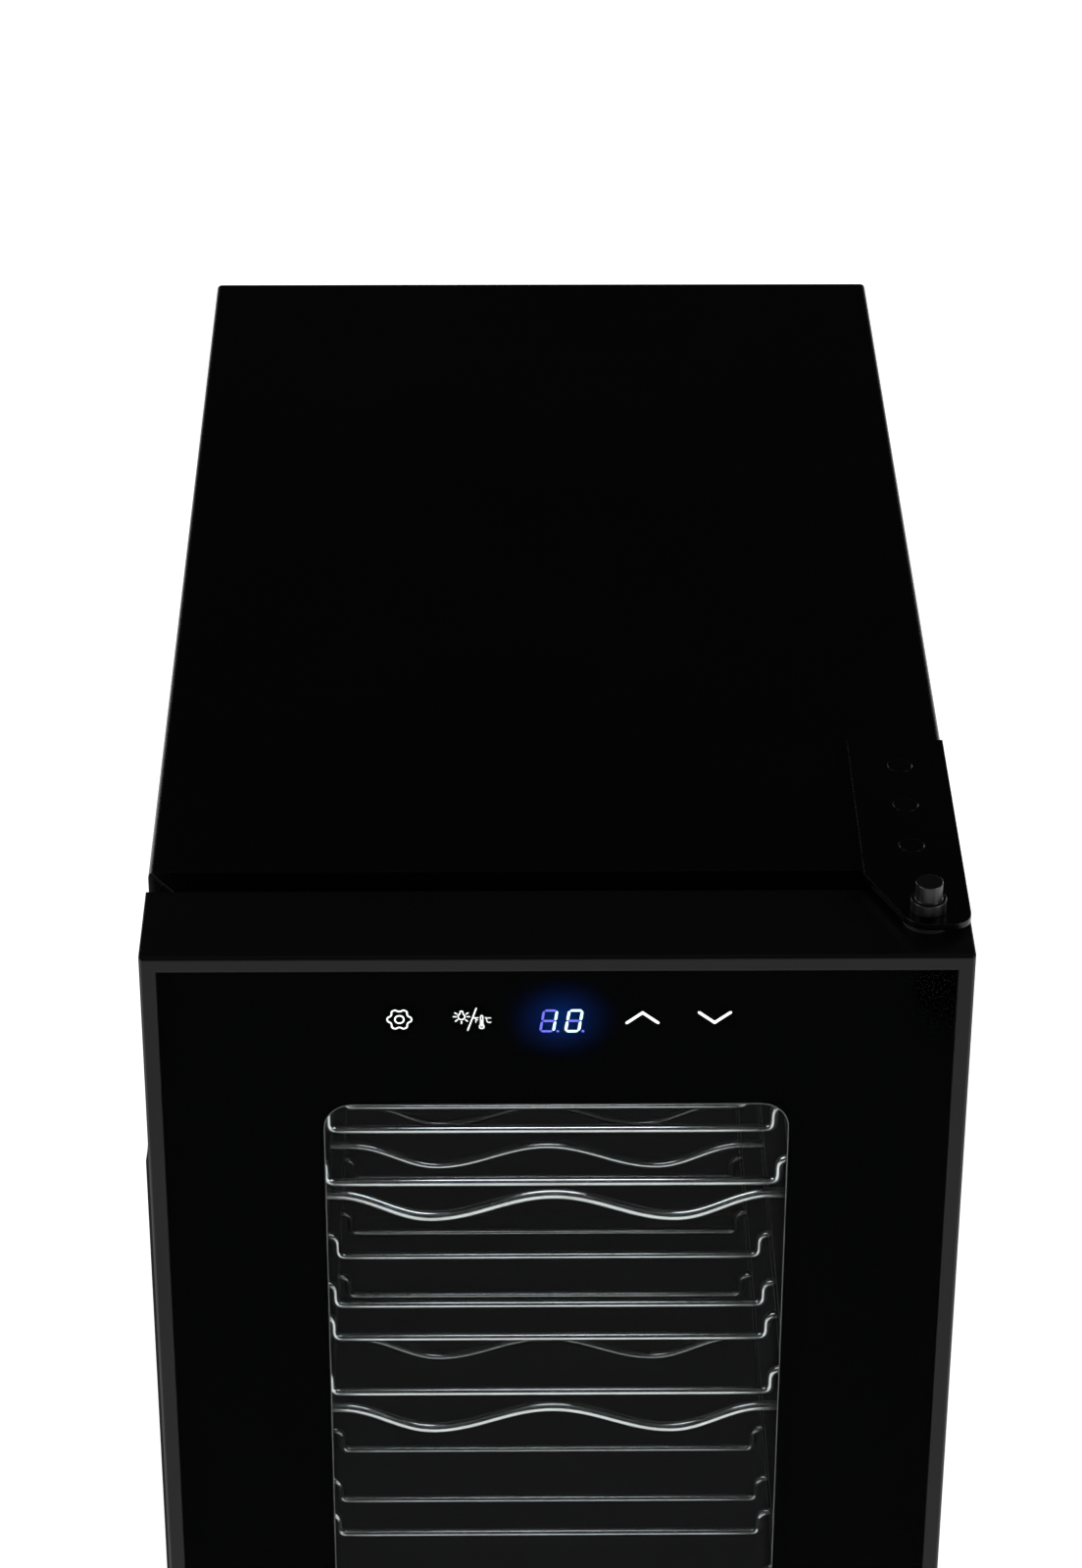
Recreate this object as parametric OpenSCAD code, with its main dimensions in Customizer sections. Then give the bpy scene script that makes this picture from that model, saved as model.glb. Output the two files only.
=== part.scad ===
// Countertop wine cooler for eight bottles: a folded steel cabinet round a foamed plastic
// cabin, a glass door on a right-hand pin hinge, three wire racks that slide out, and a
// thermoelectric cooling unit with two fans in the rear wall.
// Millimetres. +Z is up, the door faces -Y, and the origin is on the floor at the centre
// of the footprint.

/* [Cabinet] */
// Outside width of the steel cabinet
cabinet_width = 252; // [250:1:260]
// Depth of the steel cabinet, without the door and the rear cover
cabinet_depth = 425; // [422:1:440]
// Height of the cabinet top above the floor
cabinet_top = 455; // [452:1:460]
// Height of the cabinet underside above the floor
base_height = 12; // [11:0.5:14]
// Thickness of the steel sheet
steel = 1; // [0.8:0.1:1.2]
// Thickness of the side walls and the top wall, from steel to cabin
wall = 38; // [37:0.5:39]
// Thickness of the floor, from steel to cabin
floor_wall = 32; // [30:0.5:34]
// Thickness of the rear wall, from steel to cabin
rear_wall = 52.5; // [52:0.5:54]
// How far the rear cover stands behind the cabinet
rear_cover_depth = 35; // [35:0.5:40]

/* [Door] */
// Thickness of the door from its front to its inner panel
door_thickness = 37; // [37:0.5:40]
// Gap between the closed door and the cabinet, which the gasket fills
door_gap = 8; // [8:0.5:9]
// Distance of the door's top edge below the cabinet top
door_top_drop = 2; // [2:0.1:2.4]
// Height of the door's lower edge above the floor
door_bottom = 16; // [16:0.5:18]
// Width of the frame seen round the front glass
door_border = 5; // [4:0.5:7]
// Width of the black print beside the window, from the door's side
window_side_margin = 54.5; // [54:0.5:60]
// Distance of the window below the door's top edge
window_top_margin = 56.5; // [52:0.5:60]
// Distance of the window above the door's lower edge
window_bottom_margin = 55; // [54:0.5:60]
// Corner radius of the window
window_corner = 8.7; // [6:0.1:12]

/* [Hinge] */
// Distance of the hinge axis from the cabinet's right side
hinge_inset = 13; // [13:0.5:14]
// Distance of the hinge axis behind the door's front
hinge_setback = 19.5; // [19:0.5:20]
// Length of the top hinge plate on the cabinet top
hinge_plate_length = 75; // [72:1:100]

/* [Racks] */
// Height of the highest rack's flat wire level below the cabinet top
top_rack_drop = 134.5; // [130:0.5:138]
// Height from one rack to the next
rack_pitch = 89; // [86:1:90]
// Depth of the two hollows that hold the bottles
hollow_depth = 9; // [8.5:0.5:12]
// Distance of each hollow from the centre line
bottle_offset = 40.2; // [39:0.1:41]
// Diameter of the waved wires
waved_wire = 3.5; // [3:0.1:4]
// Length of a rack from its first to its last waved wire
rack_length = 300; // [280:1:302]

/* [Hidden] */
$fn = 48;

// Colours
black_paint = [0.02, 0.02, 0.02];
frame_grey = [0.14, 0.14, 0.14];
black_plastic = [0.05, 0.05, 0.05];
chrome = [0.8, 0.8, 0.82];
bare_metal = [0.7, 0.71, 0.72];
screw_steel = [0.45, 0.45, 0.47];
foam_colour = [0.9, 0.87, 0.72];
board_green = [0.05, 0.3, 0.12];
rubber_black = [0.03, 0.03, 0.03];
lamp_white = [0.95, 0.97, 1];
clear_glass = [0.75, 0.85, 0.85, 0.3];

// Places along the depth, from the door's front to the rear cover
door_front = -(door_thickness + door_gap + cabinet_depth + rear_cover_depth) / 2;
door_back = door_front + door_thickness;
cabinet_front = door_back + door_gap;
cabinet_back = cabinet_front + cabinet_depth;
cover_back = cabinet_back + rear_cover_depth;
panel_back = cabinet_back - steel;

// Cabinet and cabin
half_width = cabinet_width / 2;
fold_radius = 2;
front_flange = 26;
rear_flange = 13;
flange_edge = half_width - front_flange;
mitre_width = 0.5;
mitre_depth = 0.4;
liner_skin = 1.8;
liner_corner = 6;
cabin_half = half_width - wall;
cabin_floor = base_height + floor_wall;
cabin_top = cabinet_top - wall;
cabin_back = cabinet_back - rear_wall;

// Running gaps: shafts in their bores, and pieces on different bodies
shaft_gap = 0.05;
body_gap = 0.3;

// Door
door_half = half_width + 0.2;
door_top = cabinet_top - door_top_drop;
door_skin = 3;
door_chamfer = 0.8;
glass_recess = 0.4;
glass_thickness = 3.2;
print_thickness = 0.4;
glass_half = door_half - door_border - 0.1;
glass_low = door_bottom + door_border + 0.1;
glass_high = door_top - door_border - 0.1;
glass_back = door_front + glass_recess + glass_thickness;
print_back = glass_back + print_thickness;
ledge_back = print_back + 3;
window_half = door_half - window_side_margin;
window_low = door_bottom + window_bottom_margin;
window_high = door_top - window_top_margin;
spacer_depth = 12;
pane_front = print_back + spacer_depth;
pane_back = pane_front + glass_thickness;
inner_panel_skin = 2;
inner_panel_front = door_back - inner_panel_skin;
reveal_half = window_half + 3;
reveal_low = window_low - 3;
reveal_high = window_high + 3;
gasket_outer = 14;
gasket_width = 10;
door_screw_x = door_half - 10;
door_screw_heights = [60, (door_bottom + door_top) / 2, 400];

// Hinge
hinge_x = half_width - hinge_inset;
hinge_y = door_front + hinge_setback;
hinge_plate = 2.2;
hinge_pin_r = 4;
pin_collar_r = 5.5;
pin_collar_height = 4.2;
pin_stub_r = 4.2;
pin_stub_height = 5.8;
bottom_collar_r = 7;
bush_r = 6;
bush_flange_r = 7.5;
bush_length = 16;
bush_flange = door_top_drop - body_gap;
plate_width = 31;
nose_r = 8.5;
plate_back = cabinet_front + hinge_plate_length;
hinge_screw_x = half_width - 15;
hinge_screw_rows = [11, 35, 59];
hinge_screw_r = 2;
hinge_screw_length = 14;

// Racks
rack_front = cabinet_front + 15.5;
rack_levels = [for (i = [0 : 2]) cabinet_top - top_rack_drop - i * rack_pitch];
side_wire_r = 2;
side_wire_x = cabin_half - 6;
side_wire_drop = 3.3;
cross_wire_r = 1.5;
cross_wire_drop = hollow_depth + 3.5;
riser_x = side_wire_x - 6.5;
waved_rows = [0, rack_length / 2, rack_length];
cross_rows = [23.5, 53.5, 72, 100, 192, 232, 268];
outer_slope = 31;
wave_steps = 8;
rail_reach = 9;
rail_back = cabin_back - 45;

// Cooling unit
unit_z = 275;
cold_base = 5;
cold_fins_front = cabin_back - 22;
cold_fan_depth = 15;
cold_fan_front = cold_fins_front - cold_fan_depth;
cold_fan_size = 80;
block_length = 25;
peltier_front = cabin_back + block_length;
peltier_depth = 3.8;
peltier_half = 20;
hot_front = peltier_front + peltier_depth;
hot_base = 6;
hot_half = 60;
cold_half = 50;
hot_fan_depth = 25;
hot_fan_front = cover_back - 3.5 - hot_fan_depth;
hot_fan_size = 92;
sink_bolt_x = 35;
sink_bolt_r = 1.75;
duct_front = cold_fan_front - 4;
duct_half = 75;
duct_low = 150;
duct_high = 400;

// Rear cover and what is behind it
cover_half = 105;
cover_low = 90;
cover_high = 400;
cover_skin = 2;
cover_corner = 8;
cover_screw_heights = [130, 360];
panel_screw_heights = [50, 170, 310, 425];
gland_x = -80;
gland_y = cabinet_back + 16.5;
gland_bore_r = 3.75;
harness_x = 98;
harness_z = 385;
harness_r = 2;
board_low = 102;
board_high = 182;
board_left = -68;
board_right = 42;
board_front = panel_back + 6;
board_thickness = 1.6;

// Feet
foot_x = 80;
foot_y = cabinet_front + 28;
rear_foot_x = 96;
rear_foot_y = cabinet_back - 28;
foot_pad = base_height - 3;
foot_stud_r = 3;
insert_r = 6;
insert_top = base_height + 18;

// Control panel behind the front glass
control_z = door_top - 24.7;
key_places = [-48, -26, 26, 48];

// ---------- building blocks ----------

module block(x, y, z) {
    translate([x[0], y[0], z[0]]) cube([x[1] - x[0], y[1] - y[0], z[1] - z[0]]);
}

module rod_x(y, z, span, r) {
    translate([span[0], y, z]) rotate([0, 90, 0]) cylinder(h = span[1] - span[0], r = r);
}

module rod_y(x, z, span, r) {
    translate([x, span[1], z]) rotate([90, 0, 0]) cylinder(h = span[1] - span[0], r = r);
}

module rod_z(x, y, span, r) {
    translate([x, y, span[0]]) cylinder(h = span[1] - span[0], r = r);
}

// Extrudes an X-Z outline along the depth
module slab(span) {
    translate([0, span[1], 0]) rotate([90, 0, 0]) linear_extrude(span[1] - span[0]) children();
}

module rect(x, z) {
    translate([x[0], z[0]]) square([x[1] - x[0], z[1] - z[0]]);
}

module round_rect(x, z, r) {
    rect([x[0] + r, x[1] - r], z);
    rect(x, [z[0] + r, z[1] - r]);
    for (cx = [x[0] + r, x[1] - r], cz = [z[0] + r, z[1] - r])
        translate([cx, cz]) circle(r);
}

// ---------- cabinet ----------

// The steel wrap seen from the front, shrunk by inset and cut off at bottom
module wrap_outline(inset, bottom) {
    difference() {
        round_rect([inset - half_width, half_width - inset],
                   [bottom - 2 * fold_radius, cabinet_top - inset], fold_radius - inset / 2);
        rect([-half_width - 1, half_width + 1], [bottom - 3 * fold_radius, bottom]);
    }
}

module flange_mitre(side) {
    length = front_flange * sqrt(2);
    translate([side * half_width, cabinet_front, cabinet_top]) rotate([0, side * 45, 0])
        block([-mitre_width / 2, mitre_width / 2], [-1, mitre_depth], [-length - 1, 1]);
}

module rear_panel_screw_places() {
    for (x = [-1, 1] * (half_width - rear_flange / 2), z = panel_screw_heights)
        translate([x, 0, z]) children();
}

module cabinet_shell() {
    color(black_paint) difference() {
        slab([cabinet_front, cabinet_back]) wrap_outline(0, base_height);
        slab([cabinet_front + steel, cabinet_back - steel]) wrap_outline(steel, base_height - 1);
        block([-flange_edge, flange_edge], [cabinet_front - 1, cabinet_front + steel + 1],
              [base_height - 1, cabinet_top - front_flange]);
        block([rear_flange - half_width, half_width - rear_flange],
              [cabinet_back - steel - 1, cabinet_back + 1],
              [base_height - 1, cabinet_top - rear_flange]);
        for (side = [-1, 1]) flange_mitre(side);
        rear_panel_screw_places() rod_y(0, 0, [cabinet_back - 3, cabinet_back + 1], 1.8);
        top_screw_holes();
    }
}

module base_pan() {
    color(black_paint) difference() {
        union() {
            block([steel - half_width, half_width - steel],
                  [cabinet_front + steel, cabinet_back - steel],
                  [base_height, base_height + steel]);
            block([-flange_edge, flange_edge], [cabinet_front, cabinet_front + steel],
                  [base_height, base_height + front_flange]);
        }
        foot_insert_holes();
        bottom_screw_holes();
    }
}

module rear_panel() {
    color(black_paint) difference() {
        slab([panel_back - steel, panel_back]) wrap_outline(steel, base_height + steel);
        block([-hot_half - 1, hot_half + 1], [panel_back - 2, panel_back + 1],
              [unit_z - hot_half - 1, unit_z + hot_half + 1]);
        rod_y(harness_x, harness_z, [panel_back - 2, panel_back + 1], harness_r + 0.5);
        rear_panel_screw_places() rod_y(0, 0, [panel_back - 2, panel_back + 1], 1.8);
        cover_screw_places() rod_y(0, 0, [panel_back - 2, panel_back + 1], 1.8);
    }
}

module insulation_foam() {
    color(foam_colour) difference() {
        slab([cabinet_front + steel, panel_back - steel]) wrap_outline(steel, base_height + steel);
        slab([cabinet_front, cabin_back + liner_skin]) liner_outline(liner_skin);
        block([-peltier_half, peltier_half], [cabin_back, hot_front + 1],
              [unit_z - peltier_half, unit_z + peltier_half]);
        block([-hot_half - 1, hot_half + 1], [hot_front, cabinet_back],
              [unit_z - hot_half - 1, unit_z + hot_half + 1]);
        sink_bolt_places() rod_y(0, 0, [cabin_back, hot_front + 1], sink_bolt_r);
        rod_y(harness_x, harness_z, [cabinet_front, cabinet_back], harness_r);
        foot_insert_holes();
        top_screw_holes();
        bottom_screw_holes();
        rear_panel_screw_places() rod_y(0, 0, [panel_back - 10, cabinet_back], 1.8);
        cover_screw_places() rod_y(0, 0, [panel_back - 10, cabinet_back], 1.8);
    }
}

// The cabin seen from the front, grown by a skin thickness
module liner_outline(grow) {
    round_rect([-cabin_half - grow, cabin_half + grow],
               [cabin_floor - grow, cabin_top + grow], liner_corner + grow);
}

module inner_liner() {
    color(black_plastic) difference() {
        slab([cabinet_front + steel, cabin_back + liner_skin]) liner_outline(liner_skin);
        slab([cabinet_front, cabin_back]) liner_outline(0);
        block([-peltier_half, peltier_half], [cabin_back - 1, cabin_back + liner_skin + 1],
              [unit_z - peltier_half, unit_z + peltier_half]);
        sink_bolt_places() rod_y(0, 0, [cabin_back - 1, cabin_back + 4], sink_bolt_r);
    }
}

module breaker_trim() {
    color(black_plastic) slab([cabinet_front, cabinet_front + steel]) difference() {
        rect([-flange_edge, flange_edge],
             [base_height + front_flange, cabinet_top - front_flange]);
        liner_outline(0);
    }
}

module rack_rails(side) {
    inner = cabin_half - rail_reach;
    groove_low = side_wire_drop + side_wire_r + body_gap;
    color(black_plastic) for (level = rack_levels)
        mirror([side < 0 ? 1 : 0, 0, 0]) slab([cabinet_front + 8, rail_back]) difference() {
            rect([inner, cabin_half], [level - groove_low - 3.5, level + 5.8]);
            rect([inner - 1, cabin_half - 2], [level - groove_low, level + 2.8]);
        }
}

module lamp_housing() {
    color(black_plastic) difference() {
        block([-45, 45], [cabinet_front + 15, cabinet_front + 43], [cabin_top - 8, cabin_top]);
        block([-43, 43], [cabinet_front + 17, cabinet_front + 41],
              [cabin_top - 9, cabin_top - 2]);
    }
}

module lamp_board() {
    color(lamp_white) union() {
        block([-40, 40], [cabinet_front + 21, cabinet_front + 37],
              [cabin_top - 3.6, cabin_top - 2]);
        for (i = [-2 : 2]) block([i * 16 - 2.5, i * 16 + 2.5],
                                 [cabinet_front + 26.5, cabinet_front + 31.5],
                                 [cabin_top - 4.8, cabin_top - 3.6]);
    }
}

module lamp_lens() {
    color(lamp_white) block([-43, 43], [cabinet_front + 17, cabinet_front + 41],
                            [cabin_top - 8, cabin_top - 6.5]);
}

module temperature_probe() {
    color(black_plastic) union() {
        rod_y(-cabin_half + 3.5, unit_z, [cabin_back - 36, cabin_back - 6], 2.2);
        for (y = [cabin_back - 32, cabin_back - 14])
            block([-cabin_half, -cabin_half + 3.5], [y, y + 4], [unit_z - 3.5, unit_z + 3.5]);
    }
}

// ---------- cooling unit ----------

module sink_bolt_places() {
    for (x = [-sink_bolt_x, sink_bolt_x]) translate([x, 0, unit_z]) children();
}

// Vertical slots that fill a circle of radius r round the fan's axis
module round_grille(y, r, pitch, slot) {
    count = floor((r - slot) / pitch);
    for (i = [-count : count]) {
        reach = sqrt(r * r - pow(i * pitch, 2));
        block([i * pitch - slot / 2, i * pitch + slot / 2], y, [unit_z - reach, unit_z + reach]);
    }
}

// A bank of level slots: each one spans x, and they climb from low
module slot_bank(x, y, low, count, pitch, slot) {
    for (i = [0 : count - 1]) block(x, y, [low + i * pitch, low + i * pitch + slot]);
}

module duct_cover() {
    skin_cut = [duct_front - 1, duct_front + 3];
    color(black_plastic) difference() {
        slab([duct_front, cabin_back]) round_rect([-duct_half, duct_half],
                                                  [duct_low, duct_high], 6);
        slab([duct_front + 2, cabin_back + 1]) round_rect([2 - duct_half, duct_half - 2],
                                                          [duct_low + 2, duct_high - 2], 4);
        round_grille(skin_cut, 37, 7, 3.5);
        slot_bank([-55, 55], skin_cut, duct_low + 12, 5, 8, 3.5);
        slot_bank([-55, 55], skin_cut, duct_high - 48, 5, 8, 3.5);
    }
}

// A square fan frame with a round throat; its struts carry the hub on the side given by struts
module fan_frame(size, depth, front, struts, throat, hub) {
    low = unit_z - size / 2;
    screw = size / 2 - 5;
    difference() {
        union() {
            difference() {
                slab([front, front + depth]) round_rect([-size / 2, size / 2],
                                                        [low, low + size], 4);
                rod_y(0, unit_z, [front - 1, front + depth + 1], throat);
            }
            for (a = [45 : 90 : 315]) translate([0, 0, unit_z]) rotate([0, a, 0])
                block([-2, 2], struts, [0, throat + 2]);
            rod_y(0, unit_z, struts, hub);
        }
        for (x = [-screw, screw], z = [-screw, screw])
            rod_y(x, unit_z + z, [front - 1, front + depth + 1], 2.1);
        rod_y(0, unit_z, [front - 1, front + depth + 1], 2 + shaft_gap);
    }
}

// A fan wheel: a hub, pitched blades cut to a round sweep, and a shaft into the frame's hub
module fan_rotor(span, tip, hub, blades, shaft) {
    depth = span[1] - span[0];
    middle = (span[0] + span[1]) / 2;
    union() {
        intersection() {
            for (i = [0 : blades - 1]) translate([0, middle, unit_z])
                rotate([0, i * 360 / blades, 0]) rotate([0, 0, 40])
                    block([-0.8, 0.8], [-depth, depth], [hub - 2, tip + 2]);
            rod_y(0, unit_z, span, tip);
        }
        rod_y(0, unit_z, span, hub);
        rod_y(0, unit_z, shaft, 2);
    }
}

module cold_fan_frame() {
    back = cold_fan_front + cold_fan_depth;
    color(black_plastic)
        fan_frame(cold_fan_size, cold_fan_depth, cold_fan_front, [back - 3, back], 37, 15);
}

module cold_fan_rotor() {
    back = cold_fan_front + cold_fan_depth;
    color(black_plastic)
        fan_rotor([cold_fan_front + 1, back - 3.5], 35.8, 14.5, 7, [back - 3.6, back - 0.2]);
}

module hot_fan_frame() {
    color(black_plastic)
        fan_frame(hot_fan_size, hot_fan_depth, hot_fan_front,
                  [hot_fan_front, hot_fan_front + 4], 43, 18);
}

module hot_fan_rotor() {
    color(black_plastic)
        fan_rotor([hot_fan_front + 4.5, hot_fan_front + hot_fan_depth - 1], 41.8, 17.5, 7,
                  [hot_fan_front + 0.2, hot_fan_front + 4.6]);
}

module hot_fan_screws() {
    screw = hot_fan_size / 2 - 5;
    back = hot_fan_front + hot_fan_depth;
    color(screw_steel) for (x = [-screw, screw], z = [-screw, screw]) {
        rod_y(x, unit_z + z, [hot_fan_front, back], 2);
        rod_y(x, unit_z + z, [back, back + 1.2], 3.6);
    }
}

module fins(count, pitch, thickness, y, half_height) {
    for (i = [0 : count - 1]) {
        x = (i - (count - 1) / 2) * pitch;
        block([x - thickness / 2, x + thickness / 2], y,
              [unit_z - half_height, unit_z + half_height]);
    }
}

module cold_heatsink() {
    color(bare_metal) difference() {
        union() {
            block([-cold_half, cold_half], [cabin_back - cold_base, cabin_back],
                  [unit_z - cold_half, unit_z + cold_half]);
            fins(14, 7, 1.4, [cold_fins_front, cabin_back - cold_base], cold_half);
        }
        sink_bolt_places() rod_y(0, 0, [cabin_back - cold_base - 1, cabin_back + 1], sink_bolt_r);
    }
}

module cold_block() {
    color(bare_metal) block([-peltier_half, peltier_half], [cabin_back, peltier_front],
                            [unit_z - peltier_half, unit_z + peltier_half]);
}

module peltier_module() {
    plate = 0.8;
    core = peltier_half - 1;
    color(lamp_white) union() {
        for (y = [peltier_front, hot_front - plate])
            block([-peltier_half, peltier_half], [y, y + plate],
                  [unit_z - peltier_half, unit_z + peltier_half]);
        block([-core, core], [peltier_front + plate, hot_front - plate],
              [unit_z - core, unit_z + core]);
    }
}

module hot_heatsink() {
    color(bare_metal) difference() {
        union() {
            block([-hot_half, hot_half], [hot_front, hot_front + hot_base],
                  [unit_z - hot_half, unit_z + hot_half]);
            fins(20, 6, 1.4, [hot_front + hot_base, hot_fan_front], hot_half);
        }
        sink_bolt_places() rod_y(0, 0, [hot_front - 1, hot_front + hot_base - 1], sink_bolt_r);
    }
}

module sink_bolts() {
    color(screw_steel) sink_bolt_places() {
        rod_y(0, 0, [cabin_back - cold_base, hot_front + hot_base - 1], sink_bolt_r);
        rod_y(0, 0, [cabin_back - cold_base - 3, cabin_back - cold_base], 2.6);
    }
}

// ---------- rear cover and power supply ----------

module cover_screw_places() {
    for (x = [-1, 1] * (cover_half + 3.8), z = cover_screw_heights)
        translate([x, 0, z]) children();
}

module rear_cover() {
    skin_cut = [cover_back - cover_skin - 1, cover_back + 1];
    inner_corner = cover_corner - cover_skin;
    color(black_plastic) difference() {
        union() {
            slab([panel_back, cover_back]) round_rect([-cover_half, cover_half],
                                                      [cover_low, cover_high], cover_corner);
            for (side = [0, 1], z = cover_screw_heights) mirror([side, 0, 0])
                block([cover_half - 1, cover_half + 7.4], [panel_back, panel_back + 2.5],
                      [z - 7, z + 7]);
        }
        slab([panel_back - 1, cover_back - cover_skin])
            round_rect([cover_skin - cover_half, cover_half - cover_skin],
                       [cover_low + cover_skin, cover_high - cover_skin], inner_corner);
        round_grille(skin_cut, 43, 6, 3);
        for (side = [[-92, -14], [14, 92]]) {
            slot_bank(side, skin_cut, cover_low + 18, 10, 8, 3);
            slot_bank(side, skin_cut, cover_high - 50, 4, 8, 3);
        }
        rod_z(gland_x, gland_y, [cover_low - 1, cover_low + cover_skin + 1], 6.5);
        cover_screw_places() rod_y(0, 0, [panel_back - 1, panel_back + 4], 1.8);
    }
}

module rear_cover_screws() {
    color(screw_steel) cover_screw_places() {
        rod_y(0, 0, [panel_back - 9, panel_back + 2.5], 1.75);
        rod_y(0, 0, [panel_back + 2.5, panel_back + 4.3], 3.3);
    }
}

module rear_panel_screws() {
    color(screw_steel) rear_panel_screw_places() {
        rod_y(0, 0, [panel_back - 9, cabinet_back], 1.75);
        rod_y(0, 0, [cabinet_back, cabinet_back + 1.8], 3.3);
    }
}

module board_corner_places() {
    for (x = [board_left + 5, board_right - 5], z = [board_low + 5, board_high - 5])
        translate([x, 0, z]) children();
}

module power_board() {
    color(board_green) difference() {
        block([board_left, board_right], [board_front, board_front + board_thickness],
              [board_low, board_high]);
        board_corner_places() rod_y(0, 0, [board_front - 1, board_front + 3], 1.5);
    }
}

module board_standoffs() {
    color(lamp_white) board_corner_places() {
        rod_y(0, 0, [panel_back, board_front], 3);
        rod_y(0, 0, [board_front, board_front + board_thickness + 1], 1.45);
        rod_y(0, 0, [board_front + board_thickness, board_front + board_thickness + 1.5], 2.5);
    }
}

module power_transformer() {
    face = board_front + board_thickness;
    color([0.75, 0.6, 0.2]) union() {
        block([-18, 16], [face, face + 4], [124, 156]);
        block([-18, 16], [face + 18, face + 22], [124, 156]);
        block([-14, 12], [face + 4, face + 18], [128, 152]);
    }
}

module power_capacitors() {
    face = board_front + board_thickness;
    color(black_plastic) union() {
        rod_y(-48, 140, [face, face + 23], 9);
        rod_y(-48, 164, [face, face + 20], 8);
        for (z = [122, 136, 150]) rod_y(30, z, [face, face + 14], 5);
    }
}

module power_lead_gland() {
    color(black_plastic) difference() {
        union() {
            rod_z(gland_x, gland_y, [cover_low - 3.5, cover_low], 9);
            rod_z(gland_x, gland_y, [cover_low, cover_low + 10], 6.5);
            rod_z(gland_x, gland_y, [cover_low + cover_skin, cover_low + cover_skin + 4], 9);
        }
        rod_z(gland_x, gland_y, [cover_low - 5, cover_low + 12], gland_bore_r);
    }
}

module wiring_harness() {
    color(black_plastic) rod_y(harness_x, harness_z, [cabinet_front + steel, cabinet_back + 5],
                               harness_r);
}

// ---------- feet ----------

module foot_insert_holes() {
    for (side = [-1, 1])
        rod_z(side * foot_x, foot_y, [base_height - 1, insert_top], insert_r);
}

module rear_feet() {
    color(rubber_black) for (side = [-1, 1])
        translate([side * rear_foot_x, rear_foot_y, 0]) cylinder(h = base_height, r1 = 11, r2 = 13);
}

module foot_inserts() {
    color(bare_metal) for (side = [-1, 1]) difference() {
        rod_z(side * foot_x, foot_y, [base_height, insert_top], insert_r);
        rod_z(side * foot_x, foot_y, [base_height - 1, insert_top - 1], foot_stud_r + shaft_gap);
    }
}

module front_foot(side) {
    color(rubber_black) union() {
        translate([side * foot_x, foot_y, 0]) cylinder(h = 2, r1 = 11, r2 = 13);
        rod_z(side * foot_x, foot_y, [2, foot_pad], 13);
        rod_z(side * foot_x, foot_y, [foot_pad, insert_top - 4], foot_stud_r);
    }
}

// ---------- hinge ----------

// Where the line from point a touches a circle, on the circle's left as seen from a
function tangent_point(a, centre, r) =
    let (v = centre - a, reach = sqrt(v * v - r * r),
         angle = atan2(v[1], v[0]) - atan2(r, reach))
    a + reach * [cos(angle), sin(angle)];

// A hinge plate lying on z = 0: a straight strap with a nose round the pin
module hinge_strap() {
    left = half_width - plate_width;
    nose_front = hinge_y - nose_r;
    side_r = hinge_inset / 2;
    shoulder = [left, cabinet_front - 5.5];
    touch = tangent_point(shoulder, [hinge_x, hinge_y], nose_r);
    linear_extrude(hinge_plate) polygon([
        [left, plate_back], [half_width, plate_back], [half_width, nose_front + side_r],
        [half_width - side_r, nose_front + side_r], [half_width - side_r, nose_front],
        [hinge_x, nose_front], [hinge_x, hinge_y], touch, shoulder
    ]);
    translate([hinge_x, hinge_y, 0]) cylinder(h = hinge_plate, r = nose_r);
    translate([half_width - side_r, nose_front + side_r, 0])
        cylinder(h = hinge_plate, r = side_r);
}

module hinge_screw_places() {
    for (row = hinge_screw_rows) translate([hinge_screw_x, cabinet_front + row, 0]) children();
}

// One countersunk screw, head up, with its head flush at z = 0
module sunk_screw(length, grow) {
    head = hinge_screw_r + 2 + grow;
    translate([0, 0, -length]) cylinder(h = length, r = hinge_screw_r + grow);
    translate([0, 0, -2]) cylinder(h = 2, r1 = hinge_screw_r + grow, r2 = head);
}

module top_screws(grow) {
    hinge_screw_places() translate([0, 0, cabinet_top + hinge_plate])
        sunk_screw(hinge_screw_length, grow);
}

module bottom_screws(grow) {
    hinge_screw_places() translate([0, 0, base_height - hinge_plate]) mirror([0, 0, 1])
        sunk_screw(hinge_screw_length, grow);
}

module top_screw_holes() { top_screws(shaft_gap); }

module bottom_screw_holes() { bottom_screws(shaft_gap); }

module top_hinge_plate() {
    color(black_paint) difference() {
        translate([0, 0, cabinet_top]) hinge_strap();
        top_screw_holes();
        rod_z(hinge_x, hinge_y, [cabinet_top - 1, cabinet_top + hinge_plate + 1],
              hinge_pin_r + shaft_gap);
    }
}

module top_hinge_pin() {
    face = cabinet_top + hinge_plate;
    collar_top = face + pin_collar_height;
    color(black_paint) union() {
        rod_z(hinge_x, hinge_y, [door_top - bush_length + 2, face], hinge_pin_r);
        rod_z(hinge_x, hinge_y, [face, collar_top], pin_collar_r);
        rod_z(hinge_x, hinge_y, [collar_top, collar_top + pin_stub_height], pin_stub_r);
    }
}

module top_hinge_screws() {
    color(black_paint) top_screws(0);
}

module bottom_hinge_bracket() {
    color(black_paint) difference() {
        translate([0, 0, base_height - hinge_plate]) hinge_strap();
        bottom_screw_holes();
        rod_z(hinge_x, hinge_y, [0, base_height + 1], hinge_pin_r + shaft_gap);
    }
}

module bottom_hinge_pin() {
    color(screw_steel) union() {
        rod_z(hinge_x, hinge_y, [base_height - hinge_plate, door_bottom + bush_length - 2],
              hinge_pin_r);
        rod_z(hinge_x, hinge_y, [base_height, door_bottom - bush_flange - body_gap],
              bottom_collar_r);
    }
}

module bottom_hinge_screws() {
    color(screw_steel) bottom_screws(0);
}

// ---------- racks ----------

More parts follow.
